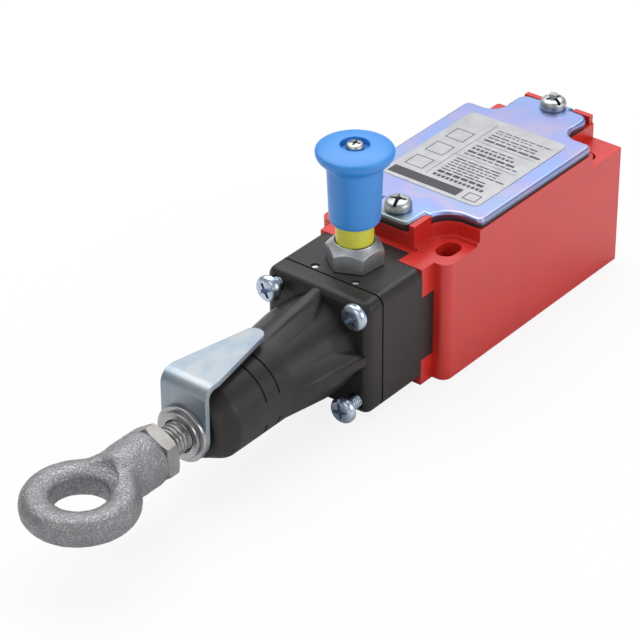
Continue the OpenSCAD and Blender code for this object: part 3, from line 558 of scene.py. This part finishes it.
# ---------------------------------------------------------------- label: foil with bands, frames and dashes
label_low, label_high = box("rating_label")
foil_bottom = label_low[2] + 0.01
foil_top = label_high[2] - 0.02
ink_bottom = label_high[2] - 0.018
ink_thick = 0.016
bm = bmesh.new()
outline = rounded_rectangle(label_high[0], label_high[1], 2.0)
raise_faces(bm, [bm.faces.new([bm.verts.new((x, y, foil_bottom)) for x, y in outline])],
            foil_top - foil_bottom)
label = finish_piece("label_sheet", bm, foil, ("rating_label",))
add_bevel(label, 0.05)


def ink_bar(bm, x0, x1, y0, y1):
    cube = bmesh.ops.create_cube(bm, size=1)["verts"]
    bmesh.ops.scale(bm, vec=(x1 - x0, y1 - y0, ink_thick), verts=cube)
    bmesh.ops.translate(bm, vec=((x0 + x1) / 2, (y0 + y1) / 2, ink_bottom + ink_thick / 2), verts=cube)


def ink_frame(bm, x0, x1, y0, y1, line):
    ink_bar(bm, x0, x1, y0, y0 + line)
    ink_bar(bm, x0, x1, y1 - line, y1)
    ink_bar(bm, x0, x0 + line, y0 + line, y1 - line)
    ink_bar(bm, x1 - line, x1, y0 + line, y1 - line)


# A band and a frame on the edge by the head, three empty frames, and a table with three fields
header = (-18.6, -15.0)
table_bottom, table_top = -13.6, 5.2
rule = 0.14
bm = bmesh.new()
ink_bar(bm, *header, -7.6, 13.9)
ink_frame(bm, *header, -13.4, -9.4, 0.3)
ink_bar(bm, -13.9, 17.6, table_top, table_top + rule)
for x in (-1.2, 7.6):
    ink_bar(bm, x, x + rule, table_bottom, table_top)
for x in (-12.9, -4.2, 4.6):
    ink_frame(bm, x, x + 5.6, 7.2, 12.8, 0.26)

# Rows of dashes that run along Y, each given by its X and its height, which is also measured along X
dash_rows = [(-13.4, 1.15), (-11.4, 1.15)] + [(-9.5 + 1.3 * k, 0.5) for k in range(6)]
dash_rows += [(0.3, 0.5), (1.7, 0.9), (3.6, 0.9), (5.4, 0.5)]
dash_rows += [(9.0, 0.8), (10.9, 0.5), (12.3, 0.5), (14.0, 0.4), (15.2, 0.4)]
for row, (x, tall) in enumerate(dash_rows):
    y = 3.6
    row_end = -12.2 + 1.7 * (row * 5 % 4)
    count = 0
    while y > row_end:
        dash = 0.9 + 0.55 * ((row * 7 + count * 5) % 5)
        ink_bar(bm, x, x + tall, y - dash, y)
        y -= dash + 0.42
        count += 1
printed = finish_piece("label_print", bm, ink, body="casing")

# ---------------------------------------------------------------- knob and its screw
knob_low, knob_high = box("reset_knob")
sleeve_low, sleeve_high = box("indicator_sleeve")
reset_x = (knob_low[0] + knob_high[0]) / 2
knob_h = knob_high[2] - knob_low[2]
cap_r = (knob_high[0] - knob_low[0]) / 2
sleeve_r = (sleeve_high[0] - sleeve_low[0]) / 2
sleeve_gap = 0.06
grip_r = 6.8
recess_r, recess_depth = 3.65, 1.6
screw_hole_r = 1.3
web_h = knob_h - 9
grip = [(grip_r - 1.2, 0.0), (grip_r - 0.7, 0.3), (grip_r - 0.42, 1.0), (grip_r - 0.36, 2.2),
        (grip_r - 0.1, knob_h * 0.4), (grip_r + 0.12, knob_h - 7.2), (grip_r + 0.18, knob_h - 6.1)]
flare = [(grip_r + 0.42, knob_h - 5.4), (grip_r + 1.05, knob_h - 4.9), (cap_r - 1.35, knob_h - 4.45),
         (cap_r - 0.7, knob_h - 3.8), (cap_r - 0.2, knob_h - 3.0)]
crown = [(cap_r, knob_h - 2.1), (cap_r - 0.14, knob_h - 1.45), (cap_r - 0.75, knob_h - 1.0),
         (cap_r - 1.9, knob_h - 0.55), (cap_r - 3.4, knob_h - 0.18), (cap_r - 4.8, knob_h - 0.04)]
lip = [(recess_r + 0.3, knob_h - 0.02), (recess_r + 0.06, knob_h - 0.12), (recess_r, knob_h - 0.3)]
inside = [(recess_r, knob_h - recess_depth), (screw_hole_r, knob_h - recess_depth), (screw_hole_r, web_h),
          (sleeve_r + sleeve_gap, web_h - 0.2), (sleeve_r + sleeve_gap, 0.0)]
bm = bmesh.new()
lathe(bm, smoothed(grip + flare + crown + lip) + inside, (reset_x, 0, knob_low[2]), "z", 96)
finish_piece("knob_moulding", bm, blue, ("reset_knob",), sharp_deg=50)
knob_seat = (reset_x, 0, knob_high[2] - recess_depth + rest_gap)
screw_head("knob_screw_head", knob_seat, (0, 0, 1), radius=2.3, height=1.95, turn_deg=15, kind="cross",
           body="reset", mat=screw, stands_for=("reset_knob_screw",))

# ---------------------------------------------------------------- reset nut, coned on top, and bushing
nut_low, nut_high = box("reset_nut")
bushing_low, bushing_high = box("reset_bushing")
across_flats = 13
corner_r = across_flats / math.sqrt(3)
nut_turn_deg = -6
nut_bore_r = sleeve_r + 0.28
nut_top = bushing_high[2]
cone_foot, cone_top = nut_high[2] - 1.1, nut_top - 0.12
bm = bmesh.new()
corners = [math.radians(60 * k + nut_turn_deg) for k in range(6)]
hexagon = [bm.verts.new((reset_x + corner_r * math.cos(a), corner_r * math.sin(a), nut_low[2]))
           for a in corners]
raise_faces(bm, [bm.faces.new(hexagon)], nut_top - nut_low[2])
hex_nut = finish_piece("reset_hex_nut", bm, cool_nut, ("reset_nut",))
shaver = tool_lathe([(corner_r + 3, cone_foot), (corner_r + 0.1, cone_foot), (sleeve_r + 0.5, cone_top),
                     (sleeve_r + 0.1, nut_top + 0.5), (corner_r + 3, nut_top + 0.5)],
                    (reset_x, 0, 0), "z", 96)
borer = tool_lathe([(0, nut_low[2] - 1), (nut_bore_r, nut_low[2] - 1), (nut_bore_r, nut_top + 1),
                    (0, nut_top + 1)], (reset_x, 0, 0), "z", 64)
cut(hex_nut, [shaver, borer])
add_bevel(hex_nut, 0.1, 2, 25)

bushing_r = 5.6
stem_hole_r = 2.1
shoulder_z = nut_low[2] - 0.05
bm = bmesh.new()
lathe(bm, [(stem_hole_r, bushing_low[2]), (bushing_r, bushing_low[2]), (bushing_r, shoulder_z),
           (sleeve_r + 0.1, shoulder_z), (sleeve_r + 0.03, sleeve_low[2]), (stem_hole_r, sleeve_low[2])],
      (reset_x, 0, 0), "z", 64)
finish_piece("bushing_tube", bm, cool_nut, ("reset_bushing",))

# ---------------------------------------------------------------- pull rod with its thread
washer_low, washer_high = box("flat_washer")
lock_low, lock_high = box("lock_nut")
axis_z = (washer_low[2] + washer_high[2]) / 2
stack_front = box("spring_washer")[0][0]
bracket_back = box("tension_bracket")[0][0] + 1.5
tail_start = box("spring_seat")[0][0] + 3
rod_end = box("pull_rod")[1][0]
rod_start = lock_low[0] - 6
rod_r, core_r, tail_r = 4.0, 3.3, 2.45
bm = bmesh.new()
lathe(bm, [(0, rod_start), (core_r, rod_start), (core_r, stack_front), (rod_r, stack_front + 0.5),
           (rod_r, bracket_back), (5.5, bracket_back + 0.05), (5.6, bracket_back + 0.65),
           (rod_r, bracket_back + 0.7), (rod_r, tail_start), (tail_r, tail_start), (tail_r, rod_end - 0.3),
           (tail_r - 0.35, rod_end), (0, rod_end)], (0, 0, axis_z), "x", 64)
finish_piece("rod_core", bm, rod, ("pull_rod",))
stud = thread("rod_thread", lock_high[0] - 1.2, stack_front + 0.4, 0, axis_z, major=rod_r - 0.02,
              minor=3.25, pitch=1.25, mat=rod, body="pull")

# ---------------------------------------------------------------- barrel: ribbed neck, two rings and nose
barrel_low, barrel_high = box("barrel")
nose_x, flange_back = barrel_low[0], barrel_high[0]
flange_front = flange_back - 5.3
half = (barrel_high[1] - barrel_low[1]) / 2
barrel_r = 10.9
nose_r = 8.0
neck_length = 21.5
pocket_length = 7.4
barrel_bore_r = 8.5
first_ring = flange_front - 26.9
ring_xs = (first_ring, first_ring - 4.9)
groove_half_w, groove_depth = 0.30, 0.32
groove_gap_deg = 17


def eased(x):
    """0 to 1 along a smooth step."""
    x = min(max(x, 0.0), 1.0)
    return x * x * (3 - 2 * x)


def neck_radius(t, angle):
    """The radius t mm in front of the flange: a cone with a tent-shaped rib up to the middle of each
    flange edge. Beside each screw the tent's foot is cut back to a pocket in the cone."""
    run_out = neck_length + 2
    if t > run_out:
        return barrel_r
    crest_w, foot_w = 1.0, 5.8
    cone = barrel_r + 2.6 * max(1 - t / neck_length, 0.0)
    crest = barrel_r + (half - 0.8 - barrel_r) * max(1 - t / run_out, 0) ** 0.95
    across = crest * abs((angle + math.pi / 4) % (math.pi / 2) - math.pi / 4)
    tent = cone + 0.62 * (crest - cone) * max(1 - max(across - crest_w, 0) / (foot_w - crest_w), 0)
    if t < pocket_length:
        pocket = cone - 0.9 * (1 - t / pocket_length)
        pocket_edge = 1.5 + 3.8 * t / pocket_length
        tent = pocket + (tent - pocket) * (1 - eased((across - pocket_edge) / 1.2))
    tent += (crest - tent) * (1 - eased((across - crest_w) / 0.7))
    return max(tent, barrel_r)


def groove(x, angle):
    """Depth of the two rings, which stop short of the mould's parting lines at the sides."""
    on_ring = any(abs(x - ring) < groove_half_w for ring in ring_xs)
    from_parting = 90 - abs(math.degrees(angle) % 180 - 90)
    return groove_depth if on_ring and from_parting > groove_gap_deg else 0.0


nose_start = nose_x + 6.1
stations = [flange_front + 0.6 - 0.6 * k for k in range(40)]
stations += [flange_front - 25 - 2.0 * k for k in range(9)] + [nose_start + 0.1]
stations += [ring + side * (groove_half_w + off)
             for ring in ring_xs for side in (-1, 1) for off in (0.12, 0.01, -0.01)]
stations = sorted(set(round(x, 3) for x in stations if x > nose_start), reverse=True)
nose = smoothed([(barrel_r, nose_start), (barrel_r - 0.05, nose_x + 5.6), (barrel_r - 0.45, nose_x + 4.7),
                 (barrel_r - 1.6, nose_x + 2.6), (nose_r + 0.45, nose_x + 0.9),
                 (nose_r + 0.1, nose_x + 0.35), (nose_r - 0.5, nose_x)], 4)
bore = [(rod_r + 0.05, nose_x), (rod_r + 0.05, nose_x + 4), (barrel_bore_r, nose_x + 4.2),
        (barrel_bore_r, flange_back)]
angles = [2 * math.pi * i / 240 for i in range(240)]
bm = bmesh.new()
loops = []
for x in stations:
    loops.append([bm.verts.new(round_axis(neck_radius(max(flange_front - x, 0), a) - groove(x, a), a, x,
                                          (0, 0, axis_z), "x")) for a in angles])
for r, x in nose + bore:
    loops.append([bm.verts.new(round_axis(r, a, x, (0, 0, axis_z), "x")) for a in angles])
for a, b in zip(loops, loops[1:] + loops[:1]):
    skin(bm, a, b)
finish_piece("barrel_moulding", bm, black, ("barrel",), sharp_deg=38)

# ---------------------------------------------------------------- flange, rounded at the front
screw_off = half - 3.7
edge_r = 2.3
corner_round = 2.6
# X and inset of each loop, from the back, which reaches a little into the seam with the head
sections = [(flange_back + 0.42, 0.25), (flange_back + 0.25, 0.0)]
for degrees in range(0, 91, 15):
    a = math.radians(degrees)
    sections.append((flange_front + edge_r * (1 - math.sin(a)), edge_r * (1 - math.cos(a))))
bm = bmesh.new()
loops = []
for x, inset in sections:
    outline = rounded_rectangle(half - inset, half - inset, corner_round - inset * 0.5)
    loops.append([bm.verts.new((x, y, axis_z + z)) for y, z in outline])
for a, b in zip(loops, loops[1:]):
    skin(bm, a, b)
bm.faces.new(loops[0])
bm.faces.new(list(reversed(loops[-1])))
flange = finish_piece("flange_moulding", bm, black, ("barrel",))


def through_flange(y, z, radius):
    """A rod along X to cut with, longer than the flange is thick."""
    start, end = flange_front - 1, flange_back + 2
    return tool_lathe([(0, start), (radius, start), (radius, end), (0, end)], (0, y, z), "x", 48)


cut(flange, [through_flange(y * screw_off, axis_z + z * screw_off, 2.15) for y in (-1, 1) for z in (-1, 1)]
    + [through_flange(0, axis_z, barrel_bore_r)])

# ---------------------------------------------------------------- head screws, three of them loosened
loosened = flange_front - box("head_screws")[0][0] - 2.6
screw_length = 28.5
shank_r, tip_r = 1.5, 0.9
# Side in Y, side in Z, how far the head stands out, its recess and its turn in degrees
head_screws = ((1, 1, loosened * 0.6, "slot", 28), (1, -1, loosened * 0.6, "slot", 40),
               (-1, -1, loosened, "slot", 102), (-1, 1, rest_gap, "cross", 38))
for i, (side_y, side_z, lift, kind, turn_deg) in enumerate(head_screws):
    x, y, z = flange_front - lift, side_y * screw_off, axis_z + side_z * screw_off
    head = screw_head("head_screw_%d" % (i + 1), (x, y, z), (-1, 0, 0), radius=pan_r, height=2.3,
                      turn_deg=turn_deg, kind=kind, body="casing", mat=blue_zinc,
                      stands_for=("head_screws",) if i == 0 else ())
    bm = bmesh.new()
    lathe(bm, [(0, x), (shank_r, x), (shank_r, x + screw_length - 1), (tip_r, x + screw_length),
               (0, x + screw_length)], (0, y, z), "x", 32)
    shank = finish_piece("head_screw_shank_%d" % (i + 1), bm, blue_zinc, body="casing")
    if lift > 1:
        wound = thread("head_screw_thread_%d" % (i + 1), x, x + 9, y, z, major=1.75, minor=1.4, pitch=0.7,
                       mat=blue_zinc, body="casing")

# ---------------------------------------------------------------- forged eye
eye_low, eye_high = box("eye_nut")
ring_out = (eye_high[1] - eye_low[1]) / 2
ring_in = 6.6
ring_mid = (ring_out + ring_in) / 2
ring_half_w = (ring_out - ring_in) / 2
ring_half_t = 3.9
eye_x = eye_low[0] + ring_out
stem_end = eye_high[0]
stem_r = 7.15
lip_share = 0.54
oval = 2.2
punch_blend, stem_blend = 0.35, 3.2


def soft_min(a, b, blend):
    """The lower of two numbers, rounded off where they differ by less than blend."""
    near = max(blend - abs(a - b), 0) / blend
    return min(a, b) - near * near * blend / 4


def eye_distance(p):
    """Roughly the distance out of the eye: a ring of oval section, punched where it is about lip_share
    as thick as in its middle, and blended into a stout stem."""
    x, y, z = p.x - eye_x, p.y, p.z - axis_z
    around = math.hypot(x, y)
    reach = ring_half_w / math.sqrt(1 - lip_share ** 2) if around < ring_mid else ring_half_w
    across, upright = abs(around - ring_mid) / reach, abs(z) / ring_half_t
    ring = ((across ** oval + upright ** oval) ** (1 / oval) - 1) * ring_half_w
    ring = -soft_min(-ring, around - ring_in, punch_blend)
    # The stem is eased at its end by the nut, thins and flattens towards the ring and stops short of the bore
    along = stem_end - p.x
    ease = 0.35 * max(0, 1 - along / 1.2) ** 2
    taper = 0.016 * max(along - 6, 0) ** 2
    flatten = 1 + 0.01 * max(along - 7, 0)
    side = math.hypot(y, z * flatten) - (stem_r - ease - taper)
    stop = ring_in + 3.7 + 0.8 * (z / stem_r) ** 2 - around
    return soft_min(ring, max(side, p.x - stem_end, stop), stem_blend)


# A rough ring and stem are joined by a voxel mesh, whose points then move onto the distance's zero
bm = bmesh.new()
loops = []
angles = [2 * math.pi * i / 96 for i in range(96)]
for k in range(28):
    b = 2 * math.pi * k / 28
    c, s = math.cos(b), math.sin(b)
    r = ring_mid + ring_half_w * math.copysign(abs(c) ** 0.8, c)
    z = axis_z + ring_half_t * math.copysign(abs(s) ** 0.8, s)
    loops.append([bm.verts.new((eye_x + r * math.cos(a), r * math.sin(a), z)) for a in angles])
for a, b in zip(loops, loops[1:] + loops[:1]):
    skin(bm, a, b)
lathe(bm, [(0, eye_x + ring_mid - 1.0), (3.2, eye_x + ring_mid - 0.8), (stem_r - 1.2, eye_x + ring_out - 1.5),
           (stem_r, eye_x + ring_out + 1.5), (stem_r, stem_end), (0, stem_end)], (0, 0, axis_z), "x", 64)
blank = new_object("eye_blank", bm)
voxels = blank.modifiers.new("voxels", "REMESH")
voxels.mode = "VOXEL"
voxels.voxel_size = 0.36 * MM
bpy.context.view_layer.update()
joined = bpy.data.meshes.new_from_object(blank.evaluated_get(bpy.context.evaluated_depsgraph_get()))
bpy.data.objects.remove(blank)

bm = in_mm(joined)
nudge = 0.02
nudges = [Vector(v) for v in ((nudge, 0, 0), (0, nudge, 0), (0, 0, nudge))]
longest_move = 0.8
for v in bm.verts:
    at_nut = v.co.x > stem_end - 0.05
    for _ in range(4):
        d = eye_distance(v.co)
        slope = Vector([eye_distance(v.co + step) - d for step in nudges]) / nudge
        steep = slope.length_squared
        if steep < 0.05:
            break
        v.co -= slope * max(min(d / steep, longest_move), -longest_move)
    swell = noise.noise(v.co * 0.5) * 0.07 + noise.noise(v.co * 1.9) * 0.06
    outwards = slope.normalized() if slope.length > 0.01 else v.normal
    if not at_nut:
        v.co += outwards * (swell - 0.06)
bmesh.ops.smooth_vert(bm, verts=bm.verts, factor=0.35, use_axis_x=True, use_axis_y=True, use_axis_z=True)
finish_piece("eye_forging", bm, forged, ("eye_nut",), sharp_deg=60)


# ---------------------------------------------------------------- floor and world
def mixed(tree, fac, a, b):
    """Shader a where fac is 0 and b where it is 1."""
    node = tree.nodes.new("ShaderNodeMixShader")
    tree.links.new(fac, node.inputs["Fac"])
    tree.links.new(a.outputs[0], node.inputs[1])
    tree.links.new(b.outputs[0], node.inputs[2])
    return node


def flat_light(tree, kind, colour, strength):
    """A light of one colour: an emission or a background."""
    node = tree.nodes.new(kind)
    node.inputs["Color"].default_value = (*colour, 1)
    node.inputs["Strength"].default_value = strength
    return node


bm = bmesh.new()
bmesh.ops.create_grid(bm, x_segments=1, y_segments=1, size=3.0)
floor_mesh = bpy.data.meshes.new("floor")
bm.to_mesh(floor_mesh)
bm.free()
floor = bpy.data.objects.new("floor", floor_mesh)
scene.collection.objects.link(floor)
floor.location.z = cad_box[0][2] - 0.0001

# The camera sees the paper's own glow with a little of its diffuse side, so shadows stay faint
floor_paper = bpy.data.materials.new("floor_paper")
floor_paper.use_nodes = True
tree = floor_paper.node_tree
tree.nodes.clear()
path = tree.nodes.new("ShaderNodeLightPath")
seen = tree.nodes.new("ShaderNodeMath")
seen.operation = "MAXIMUM"
tree.links.new(path.outputs["Is Camera Ray"], seen.inputs[0])
tree.links.new(path.outputs["Is Transmission Ray"], seen.inputs[1])
share = tree.nodes.new("ShaderNodeMath")
share.operation = "MULTIPLY"
share.inputs[1].default_value = 0.86
tree.links.new(seen.outputs[0], share.inputs[0])
paper = tree.nodes.new("ShaderNodeBsdfDiffuse")
paper.inputs["Color"].default_value = (0.86, 0.86, 0.87, 1)
glow = flat_light(tree, "ShaderNodeEmission", (1, 1, 1), 1.0)
out = tree.nodes.new("ShaderNodeOutputMaterial")
tree.links.new(mixed(tree, share.outputs[0], paper, glow).outputs[0], out.inputs["Surface"])
floor_mesh.materials.append(floor_paper)

# The world lights the object dimly, is brighter in reflections and is white behind everything
world = bpy.data.worlds.new("world")
scene.world = world
world.use_nodes = True
tree = world.node_tree
path = tree.nodes.new("ShaderNodeLightPath")
dim = tree.nodes["Background"]
dim.inputs["Color"].default_value = (0.92, 0.94, 1.0, 1)
dim.inputs["Strength"].default_value = 0.22
sheen = flat_light(tree, "ShaderNodeBackground", (0.95, 0.97, 1.0), 0.40)
white = flat_light(tree, "ShaderNodeBackground", (1, 1, 1), 1.0)
lit = mixed(tree, path.outputs["Is Glossy Ray"], dim, sheen)
sky = mixed(tree, path.outputs["Is Camera Ray"], lit, white)
tree.links.new(sky.outputs[0], tree.nodes["World Output"].inputs["Surface"])


# ---------------------------------------------------------------- lights, in metres and watts
middle = (-0.05, 0, 0.02)


def area(name, at, size, watts):
    """A rectangular lamp that faces the middle of the object."""
    lamp_data = bpy.data.lights.new(name, "AREA")
    lamp_data.shape = "RECTANGLE"
    lamp_data.size, lamp_data.size_y = size
    lamp_data.energy = watts
    lamp = bpy.data.objects.new(name, lamp_data)
    scene.collection.objects.link(lamp)
    lamp.location = at
    lamp.rotation_euler = (Vector(middle) - Vector(at)).to_track_quat("-Z", "Y").to_euler()


area("lamp_top", (0.15, 0.25, 0.75), (1.15, 0.85), 8.4)
area("lamp_front", (-0.80, -0.10, 0.45), (0.5, 0.5), 1.1)
area("lamp_side", (0.10, -0.80, 0.40), (0.8, 0.4), 2.9)
area("lamp_back", (0.55, 0.60, 0.42), (1.1, 0.6), 0.6)
